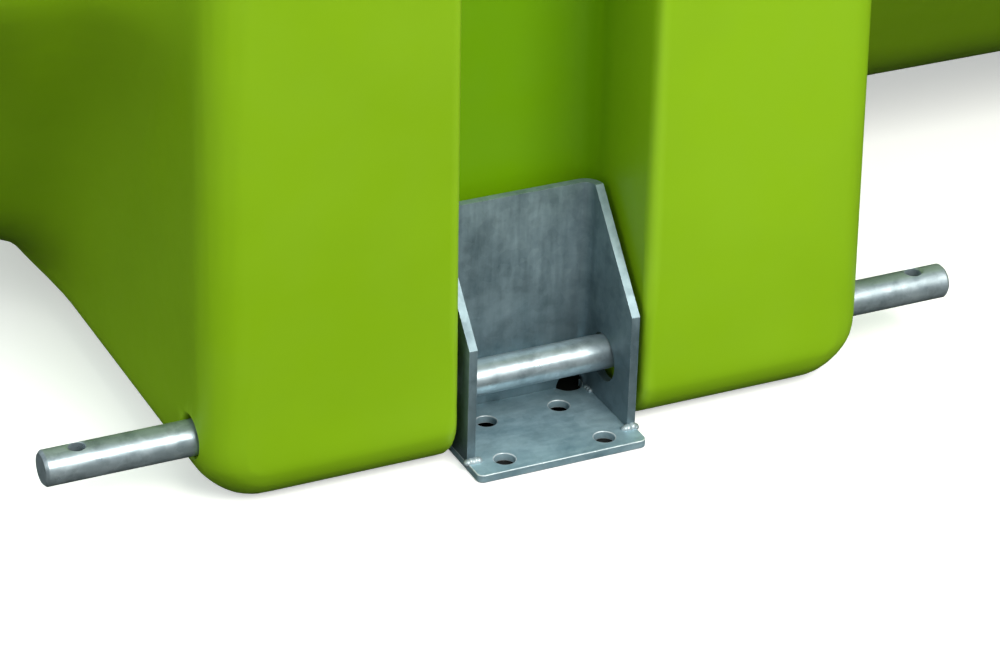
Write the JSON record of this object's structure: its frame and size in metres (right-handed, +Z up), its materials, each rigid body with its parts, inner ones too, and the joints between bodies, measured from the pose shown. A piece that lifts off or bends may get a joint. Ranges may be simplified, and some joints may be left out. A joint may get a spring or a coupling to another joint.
{
  "type": "water filled barrier",
  "caption": "Water-filled road barrier element: green moulded tank on two slotted feet, steel anchor brackets held by cross rods, fill cap, drains and coupling lugs.",
  "frame": {"origin": "centre of the footprint on the ground", "axes": "+X along the barrier, +Y across it towards its rear, +Z up"},
  "size_m": [2.0898, 0.87, 1],
  "materials": {
    "green_polyethylene": "satin rotationally moulded skin",
    "black_plastic": "injection moulded, fine grain",
    "seal_rubber": "moulded rubber",
    "bush_brass": "turned",
    "galvanised_steel": "hot dip galvanised plate",
    "galvanised_bar": "hot dip galvanised bar",
    "galvanised_weld": "galvanised weld bead",
    "amber_reflector": "moulded prism reflector",
    "rivet_aluminium": "blind rivet"
  },
  "bodies": {
    "root": {"body_shell": "green_polyethylene", "fill_neck": "black_plastic", "vent_grommet": "seal_rubber", "drain_bush_left": "bush_brass", "drain_bush_right": "bush_brass", "anchor_base_front_left": "galvanised_steel", "anchor_channel_front_left": "galvanised_steel", "anchor_welds_front_left": "galvanised_weld", "anchor_base_front_right": "galvanised_steel", "anchor_channel_front_right": "galvanised_steel", "anchor_welds_front_right": "galvanised_weld", "anchor_base_rear_left": "galvanised_steel", "anchor_channel_rear_left": "galvanised_steel", "anchor_welds_rear_left": "galvanised_weld", "anchor_base_rear_right": "galvanised_steel", "anchor_channel_rear_right": "galvanised_steel", "anchor_welds_rear_right": "galvanised_weld", "reflector_front_left": "amber_reflector", "reflector_front_right": "amber_reflector", "reflector_rear_left": "amber_reflector", "reflector_rear_right": "amber_reflector", "reflector_rivets": "rivet_aluminium"},
    "filler_seal": {"fill_gasket": "seal_rubber"},
    "filler_cap": {"fill_cap": "black_plastic"},
    "vent": {"vent_plug": "black_plastic"},
    "drain_washer_left": {"drain_seal_left": "seal_rubber"},
    "drain_stopper_left": {"drain_plug_left": "black_plastic"},
    "drain_washer_right": {"drain_seal_right": "seal_rubber"},
    "drain_stopper_right": {"drain_plug_right": "black_plastic"},
    "rod_front_left": {"anchor_rod_front_left": "galvanised_bar"},
    "rod_front_right": {"anchor_rod_front_right": "galvanised_bar"},
    "rod_rear_left": {"anchor_rod_rear_left": "galvanised_bar"},
    "rod_rear_right": {"anchor_rod_rear_right": "galvanised_bar"},
    "coupling": {"coupling_pin": "galvanised_steel", "coupling_handle": "galvanised_steel"}
  },
  "joints": [
    {"name": "rod_front_left_pull", "type": "slide", "parent": "root", "child": "rod_front_left", "axis": [-1, 0, 0], "range_m": [0, 0.43]},
    {"name": "rod_front_right_pull", "type": "slide", "parent": "root", "child": "rod_front_right", "axis": [1, 0, 0], "range_m": [0, 0.43]},
    {"name": "rod_rear_left_pull", "type": "slide", "parent": "root", "child": "rod_rear_left", "axis": [-1, 0, 0], "range_m": [0, 0.43]},
    {"name": "rod_rear_right_pull", "type": "slide", "parent": "root", "child": "rod_rear_right", "axis": [1, 0, 0], "range_m": [0, 0.43]},
    {"name": "filler_rise", "type": "slide", "parent": "root", "child": "filler_seal", "axis": [0, 0, 1], "range_m": [0, 0.012]},
    {"name": "filler_turn", "type": "hinge", "parent": "filler_seal", "child": "filler_cap", "pos_m": [0, 0, 0.98], "axis": [0, 0, 1], "range_deg": [0, 720]},
    {"name": "vent_pull", "type": "slide", "parent": "root", "child": "vent", "axis": [0, 0, 1], "range_m": [0, 0.02]},
    {"name": "coupling_lift", "type": "slide", "parent": "root", "child": "coupling", "axis": [0, 0, 1], "range_m": [0, 0.5]},
    {"name": "drain_left_rise", "type": "slide", "parent": "root", "child": "drain_washer_left", "axis": [1, 0, 0], "range_m": [0, 0.008]},
    {"name": "drain_left_turn", "type": "hinge", "parent": "drain_washer_left", "child": "drain_stopper_left", "pos_m": [-0.274, -0.24, 0.084], "axis": [1, 0, 0], "range_deg": [0, 720]},
    {"name": "drain_right_rise", "type": "slide", "parent": "root", "child": "drain_washer_right", "axis": [-1, 0, 0], "range_m": [0, 0.008]},
    {"name": "drain_right_turn", "type": "hinge", "parent": "drain_washer_right", "child": "drain_stopper_right", "pos_m": [0.274, -0.24, 0.084], "axis": [-1, 0, 0], "range_deg": [0, 720]}
  ],
  "couplings": [
    {"joint": "filler_rise", "follows": "filler_turn", "m_per_rad": 0.00095493},
    {"joint": "drain_left_rise", "follows": "drain_left_turn", "m_per_rad": 0.00063662},
    {"joint": "drain_right_rise", "follows": "drain_right_turn", "m_per_rad": 0.00063662}
  ]
}
